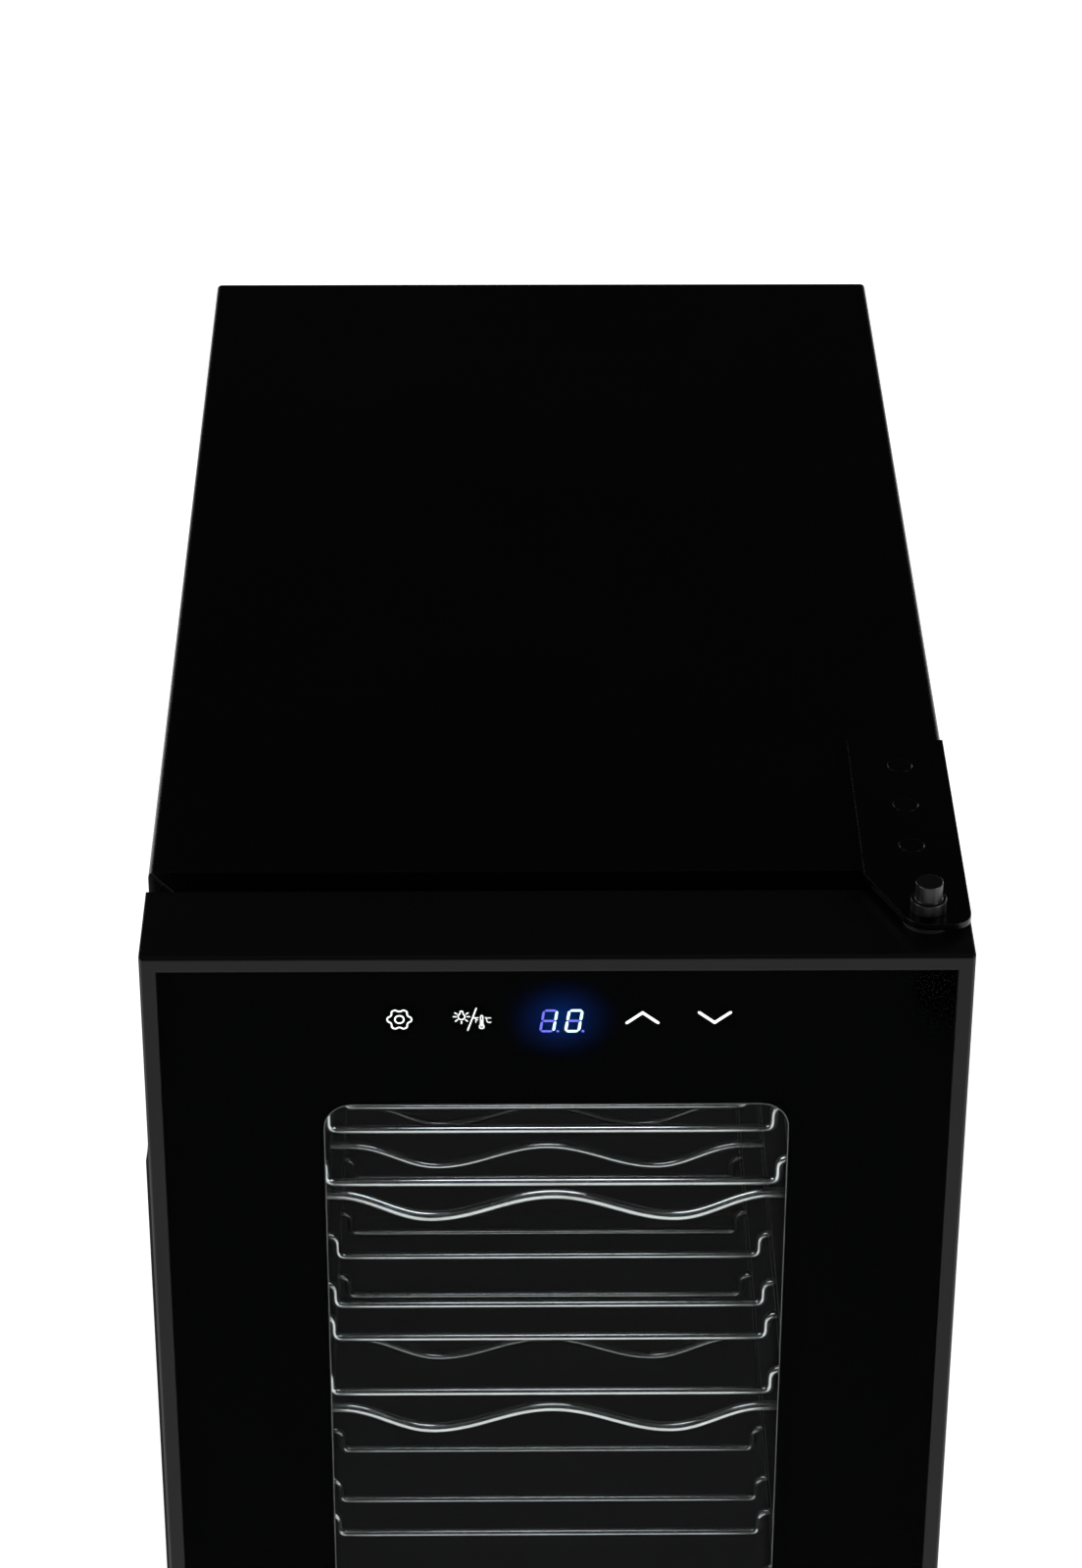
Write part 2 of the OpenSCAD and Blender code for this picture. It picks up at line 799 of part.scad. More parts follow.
// Height of a waved wire at x, which has a hollow on each side of the middle
function wave_height(x) =
    let (off = abs(x), slope = off < bottle_offset ? bottle_offset : outer_slope,
         share = min(abs(off - bottle_offset) / slope, 1))
    -hollow_depth * (1 + cos(180 * share)) / 2;

// A wire that waves across the rack: level at the ends and the middle, with two hollows.
// It is swept as a tube: one ring of corners for each place along X.
module waved_bar(y, level) {
    end = side_wire_x + 1.5;
    count = 2 * wave_steps;
    places = [for (i = [-count : count]) i * (bottle_offset + outer_slope) / count];
    xs = concat([-end], places, [end]);
    sides = 10;
    last = len(xs) - 1;
    points = [
        for (x = xs, k = [0 : sides - 1])
            let (lean = atan2(wave_height(x + 0.1) - wave_height(x - 0.1), 0.2),
                 turn = k * 360 / sides, r = waved_wire / 2)
            [x - r * sin(turn) * sin(lean), y + r * cos(turn),
             level + wave_height(x) + r * sin(turn) * cos(lean)]
    ];
    walls = [
        for (i = [0 : last - 1], k = [0 : sides - 1])
            let (a = i * sides + k, b = i * sides + (k + 1) % sides)
            [a, a + sides, b + sides, b]
    ];
    near_cap = [for (k = [0 : sides - 1]) k];
    far_cap = [for (k = [sides - 1 : -1 : 0]) last * sides + k];
    polyhedron(points, concat([near_cap, far_cap], walls), convexity = 4);
}

// A straight wire under the hollows, bent up to the side wires at both ends
module cross_bar(y, level) {
    low = level - cross_wire_drop;
    high = level - side_wire_drop;
    rod_x(y, low, [-riser_x, riser_x], cross_wire_r);
    for (side = [0, 1]) mirror([side, 0, 0]) {
        rod_z(riser_x, y, [low, high], cross_wire_r);
        rod_x(y, high, [riser_x, side_wire_x], cross_wire_r);
        for (z = [low, high]) translate([riser_x, y, z]) sphere(cross_wire_r);
    }
}

module rack(level) {
    color(chrome) union() {
        for (row = waved_rows) waved_bar(rack_front + row, level);
        for (row = cross_rows) cross_bar(rack_front + row, level);
        for (x = [-side_wire_x, side_wire_x]) {
            rod_y(x, level - side_wire_drop, [rack_front, rack_front + rack_length], side_wire_r);
            for (y = [rack_front, rack_front + rack_length])
                translate([x, y, level - side_wire_drop]) sphere(side_wire_r);
        }
    }
}

// ---------- door ----------

// Cuts a slope along one front edge of the door, running along X at height z
module level_edge_cut(z) {
    translate([0, door_front, z]) rotate([45, 0, 0])
        cube([2 * door_half + 4, door_chamfer * sqrt(2), door_chamfer * sqrt(2)], center = true);
}

module upright_edge_cut(x) {
    translate([x, door_front, (door_top + door_bottom) / 2]) rotate([0, 0, 45])
        cube([door_chamfer * sqrt(2), door_chamfer * sqrt(2), door_top - door_bottom + 4],
             center = true);
}

module door_screw_places() {
    for (x = [-door_screw_x, door_screw_x], z = door_screw_heights)
        translate([x, 0, z]) children();
}

module hinge_boss(z) {
    block([hinge_x - 10, door_half - door_skin], [hinge_y - 10, hinge_y + 10], z);
}

module door_frame() {
    hollow_x = door_half - door_skin;
    color(frame_grey) difference() {
        union() {
            difference() {
                slab([door_front, door_back]) rect([-door_half, door_half],
                                                   [door_bottom, door_top]);
                slab([door_front - 1, print_back])
                    rect([door_border - door_half, door_half - door_border],
                         [door_bottom + door_border, door_top - door_border]);
                slab([print_back - 1, ledge_back + 1]) rect([-86, 86], [56, door_top - 8]);
                slab([ledge_back, door_back + 1])
                    rect([-hollow_x, hollow_x], [door_bottom + door_skin, door_top - door_skin]);
            }
            hinge_boss([door_top - bush_length - 2, door_top - door_skin]);
            hinge_boss([door_bottom + door_skin, door_bottom + bush_length + 2]);
            door_screw_places() rod_y(0, 0, [ledge_back, inner_panel_front], 4);
        }
        for (z = [door_bottom, door_top]) level_edge_cut(z);
        for (x = [-door_half, door_half]) upright_edge_cut(x);
        rod_z(hinge_x, hinge_y, [door_top - bush_length, door_top + 1], bush_r);
        rod_z(hinge_x, hinge_y, [door_bottom - 1, door_bottom + bush_length], bush_r);
        door_screw_places() rod_y(0, 0, [inner_panel_front - 12, door_back], 1.5);
    }
}

module front_glass() {
    color(clear_glass) slab([door_front + glass_recess, glass_back])
        round_rect([-glass_half, glass_half], [glass_low, glass_high], 1);
}

module glass_print() {
    color("black") slab([glass_back, print_back]) difference() {
        rect([-glass_half, glass_half], [glass_low, glass_high]);
        round_rect([-window_half, window_half], [window_low, window_high], window_corner);
    }
}

module glass_spacer() {
    color(bare_metal) slab([print_back, pane_front]) difference() {
        rect([-window_half - 11, window_half + 11], [window_low - 11, window_high + 11]);
        rect([-window_half - 5, window_half + 5], [window_low - 5, window_high + 5]);
    }
}

module inner_glass() {
    color(clear_glass) slab([pane_front, pane_back])
        rect([-window_half - 12, window_half + 12], [window_low - 12, window_high + 12]);
}

module door_inner_panel() {
    panel_x = door_half - door_skin;
    color(black_plastic) difference() {
        union() {
            slab([inner_panel_front, door_back])
                rect([-panel_x, panel_x], [door_bottom + door_skin, door_top - door_skin]);
            slab([pane_back, inner_panel_front])
                round_rect([-reveal_half - 2, reveal_half + 2],
                           [reveal_low - 2, reveal_high + 2], 12);
        }
        slab([pane_back - 1, door_back + 1])
            round_rect([-reveal_half, reveal_half], [reveal_low, reveal_high], 10);
        door_screw_places() rod_y(0, 0, [inner_panel_front - 1, door_back + 1], 1.6);
    }
}

// A square ring seen from the front, inset from the cabinet's sides and of the given width
module gasket_ring(inset, width) {
    difference() {
        gasket_rect(inset);
        gasket_rect(inset + width);
    }
}

module gasket_rect(inset) {
    rect([inset - half_width, half_width - inset],
         [base_height + inset - 2, cabinet_top - inset + 2]);
}

module door_gasket() {
    head = cabinet_front - body_gap;
    color(rubber_black) union() {
        slab([door_back, door_back + 2]) gasket_ring(gasket_outer, gasket_width);
        slab([door_back + 2, head - 3]) gasket_ring(gasket_outer + 2.5, gasket_width - 5);
        slab([head - 3, head]) gasket_ring(gasket_outer, gasket_width);
    }
}

module side_grip() {
    proud = 2.6;
    slope = 14;
    high = door_top - 75;
    low = door_bottom + 75;
    color(frame_grey) slab([door_front + 19, door_front + 31])
        polygon([[-door_half, high], [-door_half, low], [-door_half - proud, low + slope],
                 [-door_half - proud, high - slope]]);
}

module control_board() {
    color(board_green) block([-62, 62], [print_back + 5.5, print_back + 7.1],
                             [control_z - 17, control_z + 13]);
}

module digit_display() {
    color("black") block([-14.5, 15.5], [print_back + 0.2, print_back + 5.5],
                         [control_z - 10, control_z + 10]);
}

module touch_springs() {
    color(screw_steel) for (x = key_places) {
        rod_y(x, control_z, [print_back + 0.2, print_back + 1.2], 5);
        rod_y(x, control_z, [print_back + 1.2, print_back + 5.5], 3);
    }
}

module door_harness() {
    color(black_plastic) block([45, hinge_x - 10], [print_back + 7.1, print_back + 8.1],
                               [control_z - 8, control_z - 1]);
}

module hinge_bush(door_face, into_door) {
    color(lamp_white) difference() {
        union() {
            rod_z(hinge_x, hinge_y, into_door, bush_r);
            rod_z(hinge_x, hinge_y, door_face, bush_flange_r);
        }
        rod_z(hinge_x, hinge_y, [min(into_door[0], door_face[0]) - 1,
                                 max(into_door[1], door_face[1]) + 1],
              hinge_pin_r + shaft_gap);
    }
}

module door_screws() {
    color(screw_steel) door_screw_places() {
        rod_y(0, 0, [inner_panel_front - 11, door_back], 1.45);
        rod_y(0, 0, [door_back, door_back + 1.6], 3.2);
    }
}

cabinet_shell();
base_pan();
rear_panel();
insulation_foam();
inner_liner();
breaker_trim();
rack_rails(-1);  // rack_rails_left
rack_rails(1);  // rack_rails_right
lamp_housing();
lamp_board();
lamp_lens();
temperature_probe();
duct_cover();
cold_fan_frame();
cold_fan_rotor();
cold_heatsink();
cold_block();
peltier_module();
hot_heatsink();
sink_bolts();
hot_fan_frame();
hot_fan_rotor();
hot_fan_screws();
rear_cover();
rear_cover_screws();
power_board();
power_transformer();
power_capacitors();
board_standoffs();
power_lead_gland();
wiring_harness();
rear_panel_screws();
rear_feet();
foot_inserts();
front_foot(-1);  // front_foot_left
front_foot(1);  // front_foot_right
top_hinge_plate();
top_hinge_pin();
top_hinge_screws();
bottom_hinge_bracket();
bottom_hinge_pin();
bottom_hinge_screws();
rack(rack_levels[0]);  // rack_upper
rack(rack_levels[1]);  // rack_middle
rack(rack_levels[2]);  // rack_lower
door_frame();
front_glass();
glass_print();
glass_spacer();
inner_glass();
door_inner_panel();
door_gasket();
side_grip();
control_board();
digit_display();
touch_springs();
door_harness();
hinge_bush([door_top, door_top + bush_flange], [door_top - bush_length, door_top]);  // hinge_bush_top
hinge_bush([door_bottom - bush_flange, door_bottom],  // hinge_bush_bottom
               [door_bottom, door_bottom + bush_length]);
door_screws();
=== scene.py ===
"""The looks of a countertop wine cooler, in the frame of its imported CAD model.

Metres, +Z up, the door towards -Y, the origin on the floor. Places come from the CAD nodes'
boxes. Sizes in the sections on the hinge pin, the control strip and the window are in
millimetres.
"""

import math

import bmesh
import bpy
from mathutils import Matrix, Vector


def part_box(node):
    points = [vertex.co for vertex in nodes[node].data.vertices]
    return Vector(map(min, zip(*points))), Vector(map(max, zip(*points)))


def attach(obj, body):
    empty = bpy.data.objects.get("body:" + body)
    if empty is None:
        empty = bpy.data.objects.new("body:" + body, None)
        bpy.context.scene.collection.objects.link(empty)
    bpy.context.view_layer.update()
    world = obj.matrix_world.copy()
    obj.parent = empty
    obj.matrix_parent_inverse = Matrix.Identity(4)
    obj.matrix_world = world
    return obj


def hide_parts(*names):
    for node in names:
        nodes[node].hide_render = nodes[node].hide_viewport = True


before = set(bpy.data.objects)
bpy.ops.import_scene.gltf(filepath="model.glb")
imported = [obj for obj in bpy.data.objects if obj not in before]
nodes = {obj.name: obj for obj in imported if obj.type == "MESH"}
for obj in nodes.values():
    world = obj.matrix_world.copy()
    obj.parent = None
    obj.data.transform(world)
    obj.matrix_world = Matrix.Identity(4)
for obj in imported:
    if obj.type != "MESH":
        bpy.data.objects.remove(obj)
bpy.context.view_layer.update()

MM = 0.001


def low(node):
    """The lowest corner of a CAD node."""
    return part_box(node)[0]


def high(node):
    """The highest corner of a CAD node."""
    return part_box(node)[1]


def grey(level):
    """A neutral colour."""
    return (level,) * 3


# ---------------------------------------------------------------- camera


def make_camera():
    """The photograph's view: from above and in front, a little to the left of the middle."""
    place = Vector((-0.0191, -1.3911, 1.2086))
    yaw, pitch, roll = (math.radians(angle) for angle in (-0.7, 31.38, 0.196))
    ahead = Vector(
        (
            -math.sin(yaw) * math.cos(pitch),
            math.cos(yaw) * math.cos(pitch),
            -math.sin(pitch),
        )
    )
    right = Vector((math.cos(yaw), math.sin(yaw), 0))
    up = right.cross(ahead)
    turn = Matrix((right, up, -ahead)).transposed() @ Matrix.Rotation(roll, 3, "Z")
    data = bpy.data.cameras.new("camera")
    data.lens = 104.2
    data.sensor_width = 36
    camera = bpy.data.objects.new("camera", data)
    camera.location = place
    camera.rotation_euler = turn.to_euler()
    bpy.context.scene.collection.objects.link(camera)
    bpy.context.scene.camera = camera


# ---------------------------------------------------------------- shader nodes


def new_material(name):
    """A material, its node tree and its Principled shader."""
    made = bpy.data.materials.new(name)
    made.use_nodes = True
    return made, made.node_tree, made.node_tree.nodes["Principled BSDF"]


def feed(tree, socket, value):
    """Links a node's output to a socket, or sets the socket to a plain value."""
    if isinstance(value, bpy.types.NodeSocket):
        tree.links.new(value, socket)
    elif isinstance(value, tuple) and len(value) == 3 and len(socket.default_value) == 4:
        socket.default_value = (*value, 1)
    else:
        socket.default_value = value


def add_node(tree, kind, inputs=(), **settings):
    """A new shader node with its settings and its inputs, given by name or by number."""
    made = tree.nodes.new(kind)
    for name, value in settings.items():
        setattr(made, name, value)
    for name, value in dict(inputs).items():
        feed(tree, made.inputs[name], value)
    return made


def place_in_object(tree, stretch=(1, 1, 1)):
    """The point on the object in metres, stretched along the axes."""
    spot = add_node(tree, "ShaderNodeTexCoord").outputs["Object"]
    return add_node(tree, "ShaderNodeMapping", {"Vector": spot, "Scale": stretch}).outputs[0]


def noise(tree, size, detail=4.0, stretch=(1, 1, 1)):
    """Noise from 0 to 1 whose features are about size millimetres across."""
    inputs = {"Vector": place_in_object(tree, stretch), "Scale": 1 / (size * MM)}
    made = add_node(tree, "ShaderNodeTexNoise", {**inputs, "Detail": detail})
    return made.outputs["Fac"]


def spread(tree, share, start, end, least=0.3, most=0.7):
    """Maps a share between least and most onto start to end."""
    inputs = {"Value": share, "From Min": least, "From Max": most, "To Min": start, "To Max": end}
    return add_node(tree, "ShaderNodeMapRange", inputs).outputs[0]


def mixed_colour(tree, share, first, second):
    """The colour between first and second at a share from 0 to 1."""
    made = add_node(tree, "ShaderNodeMix", data_type="RGBA")
    feed(tree, made.inputs["Factor"], share)
    feed(tree, made.inputs["A"], first)
    feed(tree, made.inputs["B"], second)
    return made.outputs["Result"]


def rounded_edges(tree, radius):
    """A normal that turns softly over the edges of the mesh."""
    return add_node(tree, "ShaderNodeBevel", {"Radius": radius * MM}, samples=4).outputs[0]


def relief(tree, height, depth, normal=None):
    """A bump normal, with the height's full range depth millimetres deep."""
    made = add_node(tree, "ShaderNodeBump", {"Height": height, "Distance": depth * MM})
    if normal is not None:
        feed(tree, made.inputs["Normal"], normal)
    return made.outputs[0]


def grained(
    name,
    dark,
    light,
    rough,
    grain,
    depth,
    drift,
    metallic=0.0,
    specular=0.5,
    coat=0.0,
    edge=0.0,
    stretch=(1, 1, 1),
):
    """A solid finish: its colour drifts between dark and light, with a fine grain.

    grain is the grain's size and depth its relief, in millimetres; drift is the size of the
    colour's patches; rough is the range of roughness; edge is the radius of softened edges.
    """
    made, tree, shader = new_material(name)
    patches = noise(tree, drift, 3)
    grains = noise(tree, grain, 6, stretch)
    feed(
        tree,
        shader.inputs["Base Color"],
        mixed_colour(tree, spread(tree, patches, 0, 1), dark, light),
    )
    feed(tree, shader.inputs["Roughness"], spread(tree, grains, *rough))
    edges = rounded_edges(tree, edge) if edge else None
    feed(tree, shader.inputs["Normal"], relief(tree, grains, depth, edges))
    shader.inputs["Metallic"].default_value = metallic
    shader.inputs["Specular IOR Level"].default_value = specular
    shader.inputs["Coat Weight"].default_value = coat
    shader.inputs["Coat Roughness"].default_value = 0.12
    return made


# ---------------------------------------------------------------- materials


def glass_finish():
    """Clear float glass with the faintest smears, which lets the lamps' light through."""
    made, tree, shader = new_material("clear_glass")
    shader.inputs["Base Color"].default_value = (0.95, 0.965, 0.96, 1)
    shader.inputs["Transmission Weight"].default_value = 1
    shader.inputs["IOR"].default_value = 1.07
    smears = noise(tree, 60, 5)
    feed(tree, shader.inputs["Roughness"], spread(tree, smears, 0.0, 0.012, 0.5, 0.75))
    clear = add_node(tree, "ShaderNodeBsdfTransparent", {"Color": (0.92, 0.935, 0.93)})
    rays = add_node(tree, "ShaderNodeLightPath")
    mix = add_node(tree, "ShaderNodeMixShader", {0: rays.outputs["Is Shadow Ray"]})
    tree.links.new(shader.outputs[0], mix.inputs[1])
    tree.links.new(clear.outputs[0], mix.inputs[2])
    tree.links.new(mix.outputs[0], tree.nodes["Material Output"].inputs["Surface"])
    return made


def lit(name, colour, strength, size, share):
    """A light-giving finish whose strength drifts from a share of it up to the whole."""
    made, tree, shader = new_material(name)
    shader.inputs["Base Color"].default_value = (*colour, 1)
    shader.inputs["Roughness"].default_value = 0.4
    shader.inputs["Emission Color"].default_value = (*colour, 1)
    uneven = spread(tree, noise(tree, size, 2), strength * share, strength)
    feed(tree, shader.inputs["Emission Strength"], uneven)
    return made


def print_and_painted_glow(display):
    """Black print behind the glass, with a painted blue glow around the display: the print itself
    emits, strongest near the display.
    """
    full_glow, no_glow = 3 * MM, 20 * MM
    squash = (1, 0, 1.15)
    fall_off = 2.6
    made, tree, shader = new_material("black_print")
    patches = spread(tree, noise(tree, 5, 4), 0, 1)
    colour = mixed_colour(tree, patches, grey(0.0003), grey(0.0005))
    feed(tree, shader.inputs["Base Color"], colour)
    feed(tree, shader.inputs["Roughness"], spread(tree, noise(tree, 0.5), 0.35, 0.5))
    shader.inputs["Specular IOR Level"].default_value = 0.0

    def vector_math(operation, *inputs):
        return add_node(
            tree, "ShaderNodeVectorMath", dict(enumerate(inputs)), operation=operation
        ).outputs

    # Painted glow: an emission in the print that fades with distance from the display centre.
    spot = add_node(tree, "ShaderNodeTexCoord").outputs["Object"]
    away = vector_math("SUBTRACT", spot, tuple(display))[0]
    flat = vector_math("MULTIPLY", away, squash)[0]
    far = vector_math("LENGTH", flat)["Value"]
    near = spread(tree, far, 1, 0, full_glow, no_glow)
    glow = add_node(tree, "ShaderNodeMath", {0: near, 1: fall_off}, operation="POWER").outputs[0]
    shader.inputs["Emission Color"].default_value = (0.0, 0.014, 0.1, 1)
    feed(tree, shader.inputs["Emission Strength"], glow)
    return made


def make_materials():
    """Every finish but the black print, by name; most are named after the record's slots."""
    solids = {
        "black_steel": dict(
            dark=grey(0.0006), light=grey(0.0011), rough=(0.22, 0.3),
            grain=0.7, depth=0.006, drift=90, specular=0.2, edge=0.5,
        ),
        "door_plastic": dict(
            dark=grey(0.0012), light=grey(0.0018), rough=(0.3, 0.4),
            grain=0.4, depth=0.01, drift=30, specular=0.2, edge=0.8,
        ),
        "black_plastic": dict(
            dark=grey(0.006), light=grey(0.010), rough=(0.38, 0.55),
            grain=0.5, depth=0.02, drift=50, edge=0.4,
        ),
        "chrome_wire": dict(
            dark=grey(0.55), light=(0.68, 0.69, 0.71), rough=(0.12, 0.24),
            grain=2.0, depth=0.003, drift=15, metallic=1.0,
        ),
        "aluminium": dict(
            dark=(0.5, 0.51, 0.52), light=(0.68, 0.69, 0.7), rough=(0.28, 0.42),
            grain=0.35, depth=0.01, drift=20, metallic=1.0, stretch=(1, 0.04, 1), edge=0.2,
        ),
        "zinc_steel": dict(
            dark=(0.42, 0.42, 0.4), light=(0.6, 0.61, 0.6), rough=(0.25, 0.4),
            grain=0.6, depth=0.006, drift=6, metallic=1.0, edge=0.15,
        ),
        "foam": dict(
            dark=(0.62, 0.5, 0.26), light=(0.8, 0.7, 0.45), rough=(0.8, 0.95),
            grain=1.2, depth=0.4, drift=25,
        ),
        "ceramic": dict(
            dark=grey(0.6), light=grey(0.78), rough=(0.5, 0.65),
            grain=0.8, depth=0.01, drift=8,
        ),
        "circuit_board": dict(
            dark=(0.01, 0.075, 0.03), light=(0.02, 0.13, 0.05), rough=(0.25, 0.4),
            grain=1.5, depth=0.01, drift=3, coat=0.3,
        ),
        "copper_tape": dict(
            dark=(0.55, 0.25, 0.1), light=(0.75, 0.42, 0.2), rough=(0.25, 0.45),
            grain=1.0, depth=0.02, drift=8, metallic=1.0,
        ),
        "bush_nylon": dict(
            dark=grey(0.012), light=grey(0.02), rough=(0.4, 0.55),
            grain=1.0, depth=0.01, drift=8,
        ),
        "rubber": dict(
            dark=grey(0.008), light=grey(0.013), rough=(0.6, 0.8),
            grain=0.6, depth=0.03, drift=12,
        ),
        "pin_black": dict(
            dark=grey(0.002), light=grey(0.003), rough=(0.28, 0.34),
            grain=0.6, depth=0.003, drift=12,
        ),
        # A painted highlight: the lighter grey of the thin ring round the window.
        "window_painted_highlight": dict(
            dark=(0.05, 0.055, 0.055), light=(0.075, 0.08, 0.08), rough=(0.2, 0.35),
            grain=0.8, depth=0.004, drift=20,
        ),
    }
    glows = {
        "lamp_white": dict(colour=(0.9, 0.95, 1.0), strength=5, size=4, share=0.85),
        "icon_light": dict(colour=(1.0, 1.0, 1.0), strength=1.0, size=2, share=0.9),
        "digit_light": dict(colour=(0.62, 0.93, 1.0), strength=1.5, size=3, share=0.9),
        # A painted glow: the unlit bars of the display emit a faint navy light.
        "digit_painted_glow": dict(colour=(0.1, 0.1, 0.62), strength=0.75, size=3, share=0.8),
    }
    made = {name: grained(name, **look) for name, look in solids.items()}
    made.update((name, lit(name, **look)) for name, look in glows.items())
    made["clear_glass"] = glass_finish()
    return made


# ---------------------------------------------------------------- geometry

DRAWN_DEPTH = 0.05


def new_piece(name, mesh, body, finish, smooth=True):
    """Makes an object of a bmesh, which rides on a CAD body."""
    data = bpy.data.meshes.new(name)
    bmesh.ops.recalc_face_normals(mesh, faces=mesh.faces)
    mesh.to_mesh(data)
    mesh.free()
    data.materials.append(finish)
    made = bpy.data.objects.new(name, data)
    bpy.context.scene.collection.objects.link(made)
    if smooth:
        data.shade_smooth()
    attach(made, body)
    return made


def tube(mesh, points, radius, sides):
    """Sweeps a round wire with closed ends along the points."""
    points = [Vector(p) for p in points]
    across = (points[1] - points[0]).normalized().orthogonal().normalized()
    rings = []
    for i, point in enumerate(points):
        last = points[max(i - 1, 0)]
        following = points[min(i + 1, len(points) - 1)]
        heading = (following - last).normalized()
        across = (across - heading * across.dot(heading)).normalized()
        other = heading.cross(across)
        ring = []
        for k in range(sides):
            angle = 2 * math.pi * k / sides
            spot = point + (across * math.cos(angle) + other * math.sin(angle)) * radius
            ring.append(mesh.verts.new(spot))
        rings.append(ring)
    for first, second in zip(rings, rings[1:]):
        for k in range(sides):
            n = (k + 1) % sides
            mesh.faces.new((first[k], first[n], second[n], second[k]))
    mesh.faces.new(reversed(rings[0]))
    mesh.faces.new(rings[-1])


def turned(mesh, centre, profile, sides=64):
    """A closed turned solid about an upright axis, from (radius, height) pairs in mm."""
    rings = []
    for radius, height in profile:
        ring = []
        for i in range(sides):
            turn = 2 * math.pi * i / sides
            x = (centre[0] + radius * math.cos(turn)) * MM
            y = (centre[1] + radius * math.sin(turn)) * MM
            ring.append(mesh.verts.new((x, y, height * MM)))
        rings.append(ring)
    for below, above in zip(rings, rings[1:]):
        for i in range(sides):
            j = (i + 1) % sides
            mesh.faces.new((below[i], below[j], above[j], above[i]))
    mesh.faces.new(rings[0][::-1])
    mesh.faces.new(rings[-1])


def eased(profile, radius, steps=4):
    """A profile with every corner but its ends rounded, and a support ring on either side."""
    support = 1.4
    points = [Vector(p) for p in profile]
    path = [points[0]]
    for before, corner, after in zip(points, points[1:], points[2:]):
        behind = (before - corner).normalized() * radius
        forward = (after - corner).normalized() * radius
        path.append(corner + behind * support)
        for i in range(steps + 1):
            t = i / steps
            path.append(corner + behind * (1 - t) ** 2 + forward * t**2)
        path.append(corner + forward * support)
    return [tuple(p) for p in path + [points[-1]]]


def bent(points, radius, steps=6):
    """The path through the points with its corners rounded to about the radius."""
    points = [Vector(p) for p in points]
    path = [points[0]]
    for before, corner, after in zip(points, points[1:], points[2:]):
        start = corner + (before - corner).normalized() * radius
        end = corner + (after - corner).normalized() * radius
        for i in range(steps + 1):
            t = i / steps
            path.append(start * (1 - t) ** 2 + corner * 2 * t * (1 - t) + end * t**2)
    path.append(points[-1])
    return path


def stroke_outline(points, width, closed):
    """The outline of a drawn line: (left side, right side) if closed, or (outline, None).

    An open line has round ends.
    """
    cap_steps = 6
    least_mitre = 0.4
    points = [Vector(p) for p in points]
    half = width / 2
    count = len(points)
    left, right = [], []
    for i, point in enumerate(points):
        before = points[(i - 1) % count] if closed or i else None
        after = points[(i + 1) % count] if closed or i < count - 1 else None
        ways = [(b - a).normalized() for a, b in ((before, point), (point, after)) if a and b]
        ways = ways or [Vector((1, 0))]
        normals = [Vector((-way.y, way.x)) for way in ways]
        mitre = sum(normals, Vector((0, 0))).normalized()
        reach = half / max(mitre.dot(normals[0]), least_mitre)
        left.append(point + mitre * reach)
        right.append(point - mitre * reach)
    if closed:
        return left, right
    outline = list(left)
    for end, way in ((points[-1], points[-1] - points[-2]), (points[0], points[0] - points[1])):
        facing = math.atan2(way.y, way.x)
        for i in range(1, cap_steps):
            angle = facing + math.pi / 2 - math.pi * i / cap_steps
            outline.append(end + Vector((math.cos(angle), math.sin(angle))) * half)
        if end is points[-1]:
            outline.extend(reversed(right))
    return outline, None


def on_door(point, plane):
    """A drawn point in millimetres, on an upright plane of the door."""
    return Vector((point[0] * MM, plane, point[1] * MM))


def raise_loops(mesh, loops, plane):
    """Makes a thin plate of one closed outline, or of the band between two."""
    back_plane = plane + DRAWN_DEPTH * MM
    rings = []
    for loop in loops:
        front = [mesh.verts.new(on_door(p, plane)) for p in loop]
        back = [mesh.verts.new(on_door(p, back_plane)) for p in loop]
        rings.append((front, back))
        for i in range(len(loop)):
            n = (i + 1) % len(loop)
            mesh.faces.new((front[i], front[n], back[n], back[i]))
    if len(rings) == 1:
        mesh.faces.new(rings[0][0])
        mesh.faces.new(reversed(rings[0][1]))
        return
    for side in (0, 1):
        first, second = rings[0][side], rings[1][side]
        for i in range(len(first)):
            n = (i + 1) % len(first)
            mesh.faces.new((first[i], first[n], second[n], second[i]))


def draw(mesh, points, width, plane, closed=False):
    """Draws a line of some width as a thin plate on the door; sizes in millimetres."""
    outer, inner = stroke_outline(points, width, closed)
    raise_loops(mesh, [outer] if inner is None else [outer, inner], plane)


def arc(centre, radius, start, end, steps):
    """Points on an arc, from one angle in degrees to another."""
    turn = [math.radians(start + (end - start) * i / steps) for i in range(steps + 1)]
    return [(centre[0] + radius * math.cos(a), centre[1] + radius * math.sin(a)) for a in turn]


def softened(points, rounds):
    """A closed outline with its corners cut smooth, by Chaikin's rule."""
    points = [Vector(p) for p in points]
    for _ in range(rounds):
        cut = []
        for a, b in zip(points, points[1:] + points[:1]):
            cut += [a * 0.75 + b * 0.25, a * 0.25 + b * 0.75]
        points = cut
    return points


def moved(points, dx, dy):
    """Points shifted."""
    return [(p[0] + dx, p[1] + dy) for p in points]


def rounded_frame(half, bottom, top, radius, steps=10):
    """The outline of an upright rectangle with round corners, in millimetres."""
    outline = []
    corners = ((half, bottom, -90), (half, top, 0), (-half, top, 90), (-half, bottom, 180))
    for x, z, start in corners:
        centre = (x - math.copysign(radius, x), z + (radius if z == bottom else -radius))
        outline += arc(centre, radius, start, start + 90, steps)
    return outline


# ---------------------------------------------------------------- top hinge pin

PIN_SHAFT_RADIUS = 4
PIN_COLLAR_RADIUS = 5.5
PIN_COLLAR_HEIGHT = 4.2
PIN_STUB_RADIUS = 4.2
PIN_EASING = 0.3
PIN_END_RADIUS = 0.4


